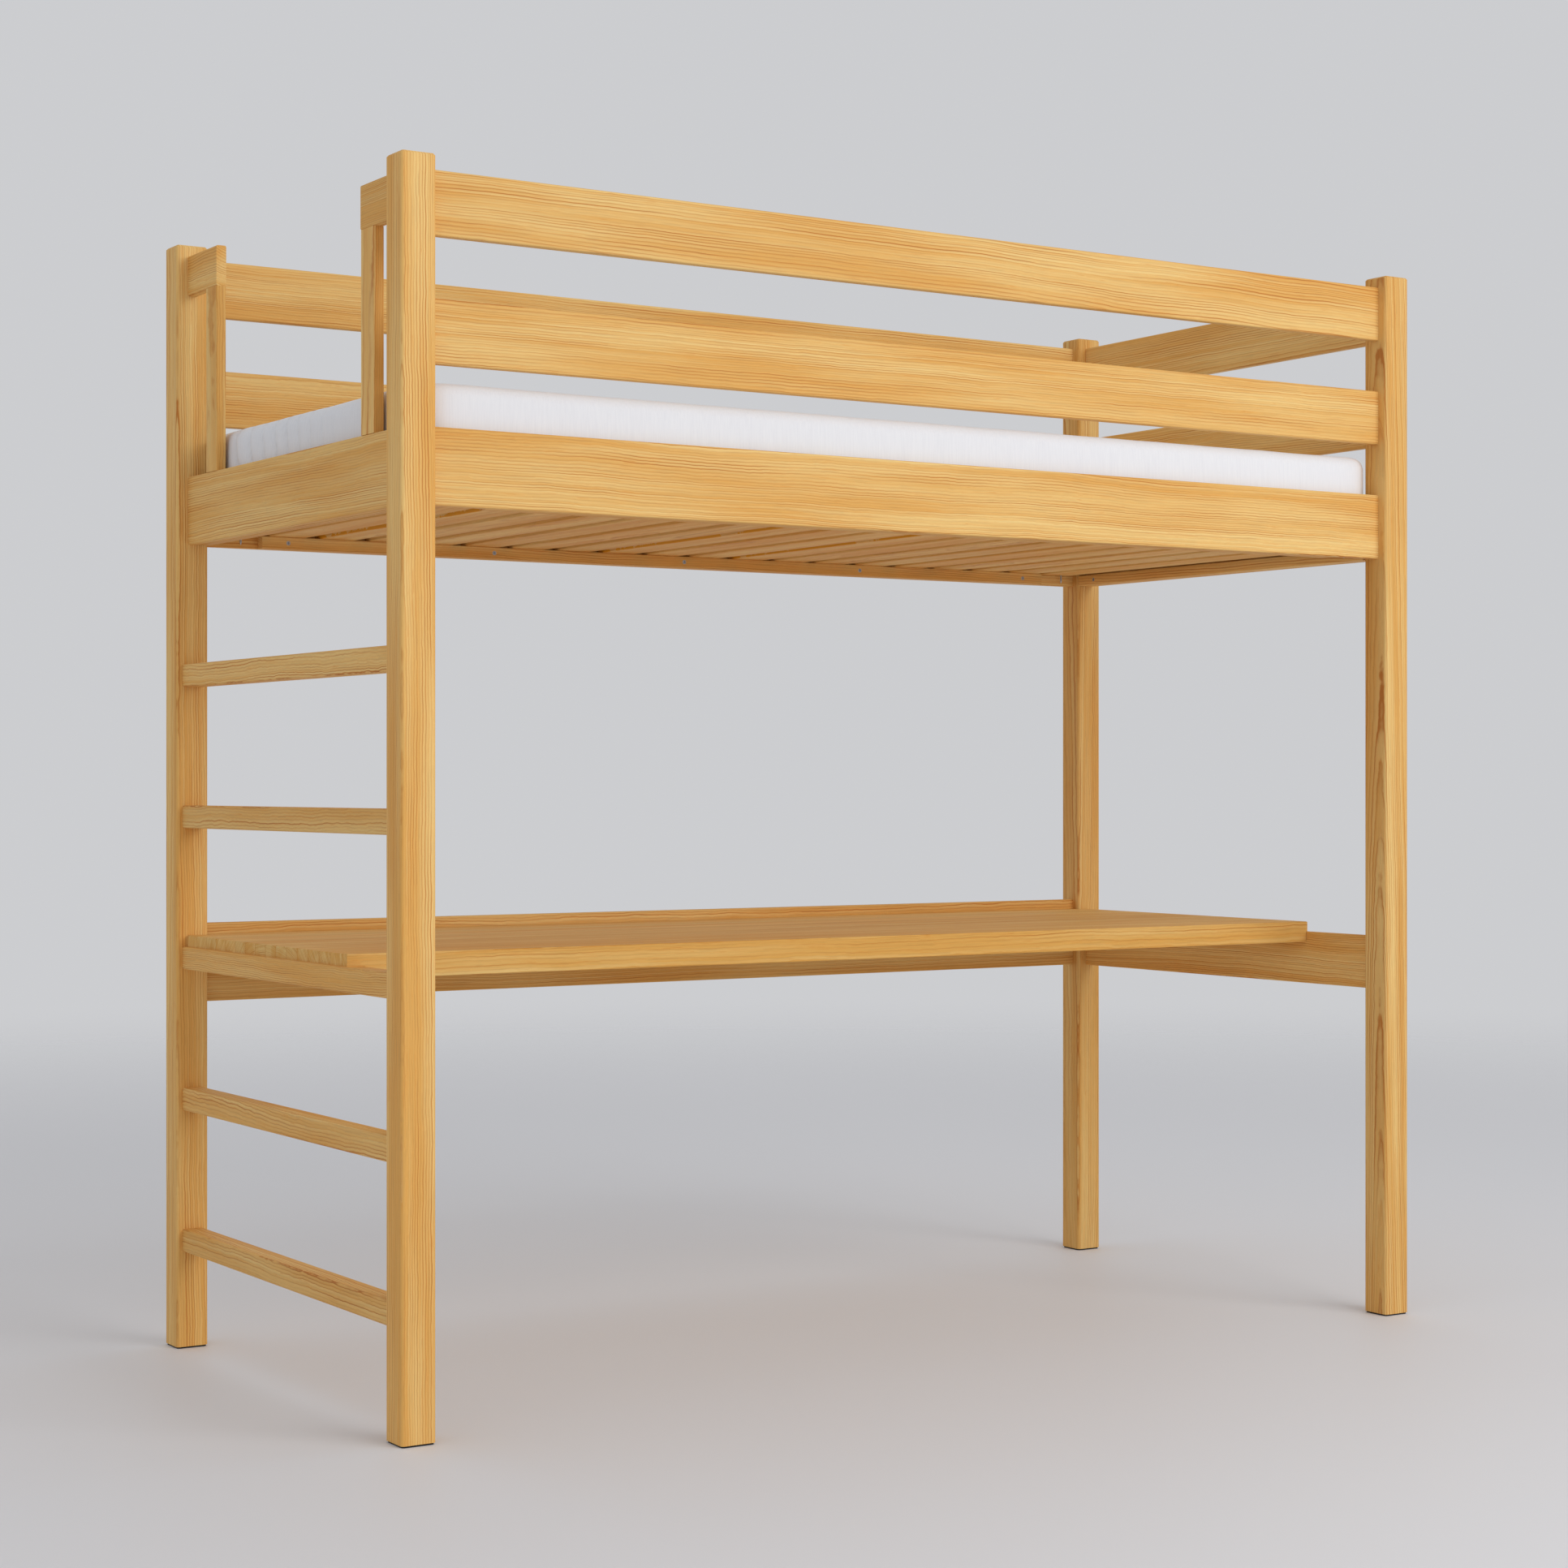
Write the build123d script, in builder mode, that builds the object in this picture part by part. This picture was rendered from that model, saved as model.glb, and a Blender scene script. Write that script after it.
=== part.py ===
from build123d import *
import os

# Loft bed with a desk, in solid pine. Millimetres, +Z up. The origin is on the floor, under the
# middle of the bed. +X runs along the bed from the ladder end, and +Y points at the wall.

# Overall size
bed_length = 2084
bed_width = 981
bed_height = 1955

# Posts and their floor pads
post_side = 58
post_rounding = 6
post_top_ease = 3
pad_thickness = 3
pad_inset = 2
pad_corner = 5

# Boards: side rails, end rails and guards, all centred in the thickness of the posts
board_thickness = 18
board_ease = 3
rail_bottom = 1424
rail_height = 120
guard_height = 100
lower_guard_bottom = 1639.5
upper_guard_bottom = 1835

# Ladder rungs
rung_depth = 38
rung_height = 40
rung_ease = 4
rung_count = 5
first_rung_centre = 192
rung_pitch = 250

# Hand-holds at the ladder end
handle_reach = 134
handle_block_height = 70
handle_stile_width = 49

# Ledgers, slats and mattress
ledger_side = 22
ledger_ease = 1.5
ledger_length = 1764
end_ledger_length = 860
slat_count = 20
slat_pitch = 98
slat_width = 70
slat_thickness = 18
slat_length = 900
slat_ease = 2
mattress_length = 2000
mattress_width = 900
mattress_thickness = 150
mattress_corner = 60
mattress_edge = 25

# Desk
desk_thickness = 40
desk_ease = 2
desk_front = -252.5
desk_left_end = -1024
desk_right_lap = 2.5
desk_back_gap = 1
desk_post_gap = 2
desk_joint_gap = 0.5
desk_rail_height = 100
desk_back_rail_height = 140
end_cleat_length = 350
end_cleat_back_gap = 13

# Dowels, screws and rail hooks
dowel_radius = 4
dowel_in_post = 22
dowel_in_board = 28
screw_length = 35
screw_shank_radius = 2
screw_head_radius = 4
screw_head_depth = 3
screw_tip_length = 5
screw_tip_radius = 0.5
screw_end_margin = 50
ledger_screw_pitch = 416
slat_screw_offset = 12
plate_screw_length = 16
plate_screw_sink = 0.2
head_room = 0.5
recess_width = 1.2
recess_length = 4.4
recess_depth = 1.8
plate_width = 12
plate_height = 84
plate_thickness = 3
plate_corner = 2
plate_screw_spacing = 72
hook_thickness = 3
hook_neck_height = 14
hook_lip_drop = 6
hook_reach = 7
hook_starts = (-24, 6)
lip_gap = 0.2
slot_width = 4
slot_height = 22
pocket_width = 6
pocket_height = 62
pocket_depth = 10

# Places that follow from the sizes above
half_length = bed_length / 2
half_width = bed_width / 2
post_x = half_length - post_side / 2
post_y = half_width - post_side / 2
post_inner_x = half_length - post_side
post_inner_y = half_width - post_side
board_inner_x = post_x - board_thickness / 2
board_inner_y = post_y - board_thickness / 2
rail_top = rail_bottom + rail_height
guard_top = upper_guard_bottom + guard_height
handle_block_bottom = guard_top - handle_block_height
handle_end_y = post_inner_y - handle_reach
ledger_x = board_inner_x - ledger_side / 2
ledger_y = board_inner_y - ledger_side / 2
slat_bottom = rail_bottom + ledger_side
slat_top = slat_bottom + slat_thickness
desk_rung_centre = first_rung_centre + 2 * rung_pitch
desk_rung_top = desk_rung_centre + rung_height / 2
desk_top = desk_rung_top + desk_thickness / 2
desk_bottom = desk_top - desk_thickness
desk_rail_bottom = desk_rung_top - desk_rail_height
cleat_bottom = desk_bottom - ledger_side
end_cleat_y = post_inner_y - end_cleat_back_gap - end_cleat_length / 2

both_signs = (-1, 1)

os.makedirs("parts", exist_ok=True)


def save(piece, name):
    piece.part.label = name
    export_step(piece.part, f"parts/{name}.step")


def boxes_meet(first, second):
    a = first.bounding_box()
    b = second.bounding_box()
    lows = zip(a.min, b.max)
    highs = zip(b.min, a.max)
    return all(low < high for low, high in (*lows, *highs))


def drill(piece, hardware):
    """Cuts from the piece the room of each item of hardware that reaches into it."""
    for item in hardware:
        if boxes_meet(item, piece.part):
            add(item, mode=Mode.SUBTRACT)


# ---- dowels: one list of seats, each a plane on a joint face, with its normal into the post ----

dowel_seats = []


def seat_dowels_x(y, heights):
    """Dowels along X, from both ends of a board into the posts at its ends."""
    for sign in both_signs:
        for z in heights:
            dowel_seats.append(Plane(origin=(sign * post_inner_x, y, z), z_dir=(sign, 0, 0)))


def seat_dowels_y(x, heights, signs=both_signs):
    """Dowels along Y, from the ends of a board into the posts at its ends."""
    for sign in signs:
        for z in heights:
            dowel_seats.append(Plane(origin=(x, sign * post_inner_y, z), z_dir=(0, sign, 0)))


def pair(centre, spread):
    return (centre - spread, centre + spread)


side_rail_dowel_spread = 51
end_rail_dowel_spread = 40
guard_dowel_spread = 30
rung_dowel_spread = 10
block_dowel_spread = 20
desk_rail_dowel_spread = 30
desk_back_rail_dowel_spread = 40
stile_dowel_spread = 13

rail_centre = rail_bottom + rail_height / 2
guard_bottoms = {"lower": lower_guard_bottom, "upper": upper_guard_bottom}
desk_rail_centre = desk_rail_bottom + desk_rail_height / 2
desk_back_rail_centre = desk_rail_bottom + desk_back_rail_height / 2
block_centre = handle_block_bottom + handle_block_height / 2

for side in both_signs:
    seat_dowels_x(side * post_y, pair(rail_centre, side_rail_dowel_spread))
    seat_dowels_y(side * post_x, pair(rail_centre, end_rail_dowel_spread))
    for guard_bottom in guard_bottoms.values():
        seat_dowels_x(side * post_y, pair(guard_bottom + guard_height / 2, guard_dowel_spread))
for guard_bottom in guard_bottoms.values():
    seat_dowels_y(post_x, pair(guard_bottom + guard_height / 2, guard_dowel_spread))
for step in range(rung_count):
    seat_dowels_y(-post_x, pair(first_rung_centre + step * rung_pitch, rung_dowel_spread))
seat_dowels_y(-post_x, pair(block_centre, block_dowel_spread))
seat_dowels_y(post_x, pair(desk_rail_centre, desk_rail_dowel_spread))
seat_dowels_x(post_y, pair(desk_back_rail_centre, desk_back_rail_dowel_spread))

# The hand-hold stiles stand on dowels in the end rail and hold the blocks on dowels at their tops.
for side in both_signs:
    stile_y = side * (handle_end_y + handle_stile_width / 2)
    for y in pair(stile_y, stile_dowel_spread):
        dowel_seats.append(Plane(origin=(-post_x, y, rail_top), z_dir=(0, 0, -1)))
        dowel_seats.append(Plane(origin=(-post_x, y, handle_block_bottom), z_dir=(0, 0, 1)))

with BuildPart() as dowels:
    with Locations(*dowel_seats):
        Cylinder(dowel_radius, dowel_in_post, align=(Align.CENTER, Align.CENTER, Align.MIN))
        Cylinder(dowel_radius, dowel_in_board, align=(Align.CENTER, Align.CENTER, Align.MAX))
save(dowels, "dowels")
dowel_solids = dowels.part.solids()

# ---- screws: each seat is a plane on the driven face, with its normal out of the wood ----


def screw_blank(length, room):
    """A countersunk screw without its drive recess, pointing down from the origin. The room is
    the height of a plug above the head, for cutting the hole of a screw that sits below a face."""
    profile = [
        (0, 0),
        (screw_head_radius, 0),
        (screw_shank_radius, -screw_head_depth),
        (screw_shank_radius, screw_tip_length - length),
        (screw_tip_radius, -length),
        (0, -length),
    ]
    if room:
        profile[:1] = [(0, room), (screw_head_radius, room)]
    with BuildPart() as blank:
        with BuildSketch(Plane.XZ):
            with BuildLine():
                Polyline(*profile, close=True)
            make_face()
        revolve(axis=Axis.Z)
    return blank.part


def screw(length):
    """The blank with a cross recess in its head."""
    with BuildPart() as driven:
        add(screw_blank(length, 0))
        for turn in (0, 90):
            with Locations(Rotation(0, 0, turn)):
                Box(
                    recess_length,
                    recess_width,
                    2 * recess_depth,
                    mode=Mode.SUBTRACT,
                )
    return driven.part


def place_screws(name, seats, length):
    """Writes one node of equal screws and gives back their blanks, for drilling."""
    one_screw = screw(length)
    one_blank = screw_blank(length, head_room)
    with BuildPart() as screws:
        with Locations(*seats):
            add(one_screw)
    save(screws, name)
    with BuildPart() as blanks:
        with Locations(*seats):
            add(one_blank)
    return blanks.part.solids()


ledger_screw_xs = [step * ledger_screw_pitch for step in range(-2, 3)]
ledger_screw_z = rail_bottom + ledger_side / 2
cleat_screw_z = cleat_bottom + ledger_side / 2
end_ledger_screw_y = end_ledger_length / 2 - screw_end_margin
end_cleat_screw_reach = end_cleat_length / 2 - screw_end_margin

batten_seats = []
for side in both_signs:
    for x in ledger_screw_xs:
        face = (x, side * (board_inner_y - ledger_side), ledger_screw_z)
        batten_seats.append(Plane(origin=face, z_dir=(0, -side, 0)))
    for y in pair(0, end_ledger_screw_y):
        face = (side * (board_inner_x - ledger_side), y, ledger_screw_z)
        batten_seats.append(Plane(origin=face, z_dir=(-side, 0, 0)))
for x in ledger_screw_xs:
    face = (x, board_inner_y - ledger_side, cleat_screw_z)
    batten_seats.append(Plane(origin=face, z_dir=(0, -1, 0)))
for x in ledger_screw_xs[:-1]:
    face = (x + ledger_screw_pitch / 2, ledger_y, cleat_bottom)
    batten_seats.append(Plane(origin=face, z_dir=(0, 0, -1)))
for y in pair(end_cleat_y, end_cleat_screw_reach):
    face = (board_inner_x - ledger_side, y, cleat_screw_z)
    batten_seats.append(Plane(origin=face, z_dir=(-1, 0, 0)))
batten_seats.append(Plane(origin=(ledger_x, end_cleat_y, cleat_bottom), z_dir=(0, 0, -1)))
batten_blanks = place_screws("batten_screws", batten_seats, screw_length)

slat_xs = [(step - (slat_count - 1) / 2) * slat_pitch for step in range(slat_count)]
slat_seats = [
    Plane(origin=(x + slat_screw_offset, side * ledger_y, slat_top))
    for x in slat_xs
    for side in both_signs
]
slat_blanks = place_screws("slat_screws", slat_seats, screw_length)

# ---- hook fittings that lock the side rails to the posts, out of sight in the joints ----

hook_corners = [(end, side) for end in both_signs for side in both_signs]

plate_seats = []
for end, side in hook_corners:
    for z in pair(rail_centre, plate_screw_spacing / 2):
        for way in both_signs:
            face = (end * post_inner_x + way * plate_screw_sink, side * post_y, z)
            plate_seats.append(Plane(origin=face, z_dir=(-way, 0, 0)))
plate_blanks = place_screws("plate_screws", plate_seats, plate_screw_length)


def plate_face(end, side, out):
    """A plane on the joint face of one rail end, moved out into the post by the given amount."""
    origin = (end * (post_inner_x + out), side * post_y, rail_centre)
    return Plane(origin=origin, x_dir=(0, 1, 0), z_dir=(end, 0, 0))


def flip(plane, heights):
    """Heights above the plane's middle, in the plane's own Y direction."""
    return [height * plane.y_dir.Z for height in heights]


lip_height = hook_neck_height + hook_lip_drop
neck_offsets = [start + hook_neck_height / 2 for start in hook_starts]
lip_offsets = [start + hook_neck_height - lip_height / 2 for start in hook_starts]
slot_offsets = [start + slot_height / 2 for start in hook_starts]

with BuildPart() as rail_hook_plates:
    for end, side in hook_corners:
        face = plate_face(end, side, 0)
        with BuildSketch(face):
            RectangleRounded(plate_width, plate_height, plate_corner)
        extrude(amount=-plate_thickness)
        with BuildSketch(face):
            with Locations(*[(0, offset) for offset in flip(face, neck_offsets)]):
                Rectangle(hook_thickness, hook_neck_height)
        extrude(amount=hook_reach)
        with BuildSketch(plate_face(end, side, plate_thickness + lip_gap)):
            with Locations(*[(0, offset) for offset in flip(face, lip_offsets)]):
                Rectangle(hook_thickness, lip_height)
        extrude(amount=hook_reach - plate_thickness - lip_gap)
    drill(rail_hook_plates, plate_blanks)
save(rail_hook_plates, "rail_hook_plates")

with BuildPart() as post_slot_plates:
    for end, side in hook_corners:
        face = plate_face(end, side, 0)
        with BuildSketch(face):
            RectangleRounded(plate_width, plate_height, plate_corner)
            with Locations(*[(0, offset) for offset in flip(face, slot_offsets)]):
                Rectangle(slot_width, slot_height, mode=Mode.SUBTRACT)
        extrude(amount=plate_thickness)
    drill(post_slot_plates, plate_blanks)
save(post_slot_plates, "post_slot_plates")

# The room that the fittings need: a recess for each plate and a pocket behind each slot plate.
with BuildPart() as fitting_room:
    for end, side in hook_corners:
        with BuildSketch(plate_face(end, side, 0)):
            RectangleRounded(plate_width, plate_height, plate_corner)
        extrude(amount=plate_thickness, both=True)
        with BuildSketch(plate_face(end, side, 0)):
            Rectangle(pocket_width, pocket_height)
        extrude(amount=pocket_depth)
fitting_solids = fitting_room.part.solids()

hardware = [*dowel_solids, *batten_blanks, *slat_blanks, *plate_blanks, *fitting_solids]

# ---- posts and pads ----

post_names = {
    (-1, -1): "post_front_left",
    (1, -1): "post_front_right",
    (-1, 1): "post_back_left",
    (1, 1): "post_back_right",
}
for (end, side), name in post_names.items():
    with BuildPart() as post:
        with BuildSketch(Plane.XY.offset(pad_thickness)):
            with Locations((end * post_x, side * post_y)):
                RectangleRounded(post_side, post_side, post_rounding)
        extrude(amount=bed_height - pad_thickness)
        top_edges = post.faces().sort_by(Axis.Z)[-1].edges()
        chamfer(top_edges, post_top_ease)
        drill(post, hardware)
    save(post, name)

with BuildPart() as foot_pads:
    with BuildSketch():
        with Locations(*[(end * post_x, side * post_y) for end, side in post_names]):
            RectangleRounded(post_side - 2 * pad_inset, post_side - 2 * pad_inset, pad_corner)
    extrude(amount=pad_thickness)
save(foot_pads, "foot_pads")

# ---- boards, rungs and battens: straight lengths of wood with eased long edges ----


def lay_timber(name, axis, centre, size, ease):
    """A length of wood along one axis, drilled for the hardware that it meets."""
    with BuildPart() as timber:
        with Locations(centre):
            Box(*size)
        fillet(timber.edges().filter_by(axis), ease)
        drill(timber, hardware)
    save(timber, name)


rail_size_x = (2 * post_inner_x, board_thickness, rail_height)
rail_size_y = (board_thickness, 2 * post_inner_y, rail_height)
guard_size_x = (2 * post_inner_x, board_thickness, guard_height)
guard_size_y = (board_thickness, 2 * post_inner_y, guard_height)
ledger_z = rail_bottom + ledger_side / 2

for side, name in ((-1, "front"), (1, "back")):
    y = side * post_y
    lay_timber(f"side_rail_{name}", Axis.X, (0, y, rail_centre), rail_size_x, board_ease)
    for level, bottom in guard_bottoms.items():
        centre = (0, y, bottom + guard_height / 2)
        lay_timber(f"guard_{name}_{level}", Axis.X, centre, guard_size_x, board_ease)
    ledger_size = (ledger_length, ledger_side, ledger_side)
    lay_timber(f"ledger_{name}", Axis.X, (0, side * ledger_y, ledger_z), ledger_size, ledger_ease)

for end, name in ((-1, "left"), (1, "right")):
    lay_timber(f"end_rail_{name}", Axis.Y, (end * post_x, 0, rail_centre), rail_size_y, board_ease)
    ledger_size = (ledger_side, end_ledger_length, ledger_side)
    lay_timber(f"ledger_{name}", Axis.Y, (end * ledger_x, 0, ledger_z), ledger_size, ledger_ease)

for level, bottom in guard_bottoms.items():
    centre = (post_x, 0, bottom + guard_height / 2)
    lay_timber(f"guard_right_{level}", Axis.Y, centre, guard_size_y, board_ease)

rung_size = (rung_depth, 2 * post_inner_y, rung_height)
for step in range(rung_count):
    centre = (-post_x, 0, first_rung_centre + step * rung_pitch)
    lay_timber(f"rung_{step + 1}", Axis.Y, centre, rung_size, rung_ease)

block_size = (board_thickness, handle_reach, handle_block_height)
stile_size = (board_thickness, handle_stile_width, handle_block_bottom - rail_top)
for side, name in ((-1, "front"), (1, "back")):
    block_y = side * (handle_end_y + handle_reach / 2)
    stile_y = side * (handle_end_y + handle_stile_width / 2)
    stile_z = (rail_top + handle_block_bottom) / 2
    lay_timber(f"handle_block_{name}", Axis.Y, (-post_x, block_y, block_centre), block_size, board_ease)
    lay_timber(f"handle_stile_{name}", Axis.Z, (-post_x, stile_y, stile_z), stile_size, board_ease)

slat_size = (slat_width, slat_length, slat_thickness)
slat_z = (slat_bottom + slat_top) / 2
for step, x in enumerate(slat_xs):
    lay_timber(f"slat_{step + 1:02d}", Axis.Y, (x, 0, slat_z), slat_size, slat_ease)

# ---- desk ----

desk_rail_size = (board_thickness, 2 * post_inner_y, desk_rail_height)
desk_back_rail_size = (2 * post_inner_x, board_thickness, desk_back_rail_height)
desk_rail_place = (post_x, 0, desk_rail_centre)
desk_back_rail_place = (0, post_y, desk_back_rail_centre)
lay_timber("desk_rail_right", Axis.Y, desk_rail_place, desk_rail_size, board_ease)
lay_timber("desk_rail_back", Axis.X, desk_back_rail_place, desk_back_rail_size, board_ease)

cleat_z = cleat_bottom + ledger_side / 2
back_cleat_size = (ledger_length, ledger_side, ledger_side)
end_cleat_size = (ledger_side, end_cleat_length, ledger_side)
lay_timber("desk_cleat_back", Axis.X, (0, ledger_y, cleat_z), back_cleat_size, ledger_ease)
lay_timber("desk_cleat_right", Axis.Y, (ledger_x, end_cleat_y, cleat_z), end_cleat_size, ledger_ease)

# The desktop laps over the desk rung with half its thickness, notches round the back posts and
# just laps the inner edge of the right rail.
desk_right_end = board_inner_x + desk_right_lap
desk_back = board_inner_y - desk_back_gap
rung_inner_x = -post_x + rung_depth / 2 + desk_joint_gap
rail_joint_x = board_inner_x - desk_joint_gap
notch_x = post_inner_x - desk_post_gap
notch_y = post_inner_y - desk_joint_gap


def desk_outline(left, right):
    """The desktop from above, with its notches, between two ends."""
    with BuildSketch() as outline:
        with BuildLine():
            Polyline(
                (left, desk_front),
                (right, desk_front),
                (right, notch_y),
                (notch_x, notch_y),
                (notch_x, desk_back),
                (-notch_x, desk_back),
                (-notch_x, notch_y),
                (left, notch_y),
                close=True,
            )
        make_face()
    return outline.sketch


with BuildPart() as desktop:
    with BuildSketch(Plane.XY.offset(desk_bottom)):
        add(desk_outline(rung_inner_x, rail_joint_x))
    extrude(amount=desk_thickness / 2)
    with BuildSketch(Plane.XY.offset(desk_rung_top)):
        add(desk_outline(desk_left_end, desk_right_end))
    extrude(amount=desk_thickness / 2)
    fillet(desktop.faces().sort_by(Axis.Z)[-1].edges(), desk_ease)
    front_bottom = desktop.faces().sort_by(Axis.Z)[0].edges().sort_by(Axis.Y)[0]
    fillet(front_bottom, desk_ease)
    drill(desktop, hardware)
save(desktop, "desktop")

# ---- mattress: a plain block of the true size ----

with BuildPart() as mattress:
    with BuildSketch(Plane.XY.offset(slat_top)):
        RectangleRounded(mattress_length, mattress_width, mattress_corner)
    extrude(amount=mattress_thickness)
    rims = mattress.faces().sort_by(Axis.Z)
    fillet([*rims[0].edges(), *rims[-1].edges()], mattress_edge)
save(mattress, "mattress")
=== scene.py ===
import math
import random
import bmesh
import bpy
from mathutils import Euler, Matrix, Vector, noise


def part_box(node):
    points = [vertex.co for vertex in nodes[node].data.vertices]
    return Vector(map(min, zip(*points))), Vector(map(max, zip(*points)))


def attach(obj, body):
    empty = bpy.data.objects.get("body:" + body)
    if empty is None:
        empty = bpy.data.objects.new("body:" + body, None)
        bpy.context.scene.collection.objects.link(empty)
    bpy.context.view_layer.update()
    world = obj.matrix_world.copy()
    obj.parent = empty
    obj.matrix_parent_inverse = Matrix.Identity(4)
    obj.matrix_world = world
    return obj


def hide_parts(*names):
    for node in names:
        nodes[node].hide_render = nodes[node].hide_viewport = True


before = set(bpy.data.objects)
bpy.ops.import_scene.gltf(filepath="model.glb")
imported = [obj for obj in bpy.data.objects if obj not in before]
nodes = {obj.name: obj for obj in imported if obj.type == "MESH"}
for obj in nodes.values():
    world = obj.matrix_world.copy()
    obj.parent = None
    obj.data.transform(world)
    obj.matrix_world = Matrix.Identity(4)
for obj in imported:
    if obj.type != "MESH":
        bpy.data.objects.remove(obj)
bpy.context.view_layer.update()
mm = 0.001
print("frame loaded:", len(nodes), "nodes")


def linearColour(hexCode):
    parts = [int(hexCode[i:i + 2], 16) / 255 for i in (1, 3, 5)]
    linear = [c / 12.92 if c <= 0.04045 else ((c + 0.055) / 1.055) ** 2.4 for c in parts]
    return (*linear, 1.0)


def addNode(tree, kind, settings=None, links=None):
    # settings: a capital or a number means an input socket, anything else a property
    node = tree.nodes.new("ShaderNode" + kind)
    for key, value in (settings or {}).items():
        if key == "stops":
            ramp = node.color_ramp
            while len(ramp.elements) < len(value):
                ramp.elements.new(0.5)
            for element, (position, colour) in zip(ramp.elements, value):
                element.position = position
                element.color = colour
        elif isinstance(key, int) or key[0].isupper():
            node.inputs[key].default_value = value
        else:
            setattr(node, key, value)
    for key, source in (links or {}).items():
        if hasattr(source, "outputs"):
            source = next(socket for socket in source.outputs if socket.enabled)
        tree.links.new(source, node.inputs[key])
    return node


def emptyMaterial(name):
    material = bpy.data.materials.new(name)
    material.use_nodes = True
    material.node_tree.nodes.clear()
    return material, material.node_tree


def grey(value):
    return (value, value, value, 1.0)


# A level view from the left of the ladder end, a metre up, turned to the right of square.
camera = {"place": (-2.9345, -4.5023, 1.0), "turnRight": 32.7, "lens": 67.17, "sensor": 36.0}

cameraData = bpy.data.cameras.new("camera")
cameraData.lens = camera["lens"]
cameraData.sensor_width = camera["sensor"]
cameraObject = bpy.data.objects.new("camera", cameraData)
cameraObject.location = camera["place"]
cameraObject.rotation_euler = (math.radians(90), 0, -math.radians(camera["turnRight"]))
bpy.context.scene.collection.objects.link(cameraObject)
bpy.context.scene.camera = cameraObject

# Solid Scots pine, planed and satin-varnished: cream to honey earlywood, thin golden-brown
# latewood lines that ripple together along the board, short fibre streaks and warmer patches.
pine = {
    "earlywood": "#F0CB82",
    "warmEarlywood": "#E3AC5A",
    "latewood": "#C27A30",
    # each pattern's length along the grain and width across it, and how far it moves the lines
    "bend": (600 * mm, 260 * mm),
    "bendSway": 26 * mm,
    "ripple": (72 * mm, 60 * mm),
    "rippleSway": 6 * mm,
    "fade": (380 * mm, 26 * mm),
    "patch": (700 * mm, 45 * mm),
    "fibre": (75 * mm, 1.8 * mm),  # real fibres are far finer than this, and wouldn't show
    # wide and narrow years: how far they reach, and by how many years they shift the lines
    "unevenYears": 26 * mm,
    "yearShift": 2.4,
    # one year, from spring to spring: how much of it has passed, and how dark its wood is
    "year": ((0.0, 0.45), (0.08, 0.04), (0.45, 0.0), (0.72, 0.35), (0.9, 1.0), (1.0, 0.45)),
    "yearStrength": (0.35, 1.35),
    # the part of each noise that a pattern takes, and how strongly it shows there
    "fadeNoise": (0.35, 0.65),
    "fadeStrength": (0.3, 1.15),
    "dashNoise": (0.56, 0.74),
    "dashStrength": 0.55,
    "patchNoise": (0.4, 0.66),
    "patchWarmth": 0.8,
    "yearWarmth": 0.65,
    "shade": (0.89, 1.07),
    "seam": 0.012,  # half a glue line, as a share of a stave's width
    "staveTones": (0.96, 1.03),
    "roughness": (0.6, 0.74),
    "ior": 1.5,
    "bump": 0.25 * mm,
    "bumpStrength": 0.3,
}
noiseSpan = (0.3, 0.7)  # nearly all of a noise pattern's values lie between these

# The turn that lays a piece's grain along the first axis of the wood's own coordinates
grainTurns = {"X": (0, 0, 0), "Y": (0, 0, -90), "Z": (0, 90, 0)}


def grainNoise(tree, place, size, settings):
    # noise drawn out along the grain: size is its length along it and its width across
    waves = (1 / size[0], 1 / size[1], 1 / size[1])
    spread = addNode(tree, "VectorMath", {"operation": "MULTIPLY", 1: waves}, {0: place})
    return addNode(tree, "TexNoise", {"Scale": 1.0, **settings}, {"Vector": spread})


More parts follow.
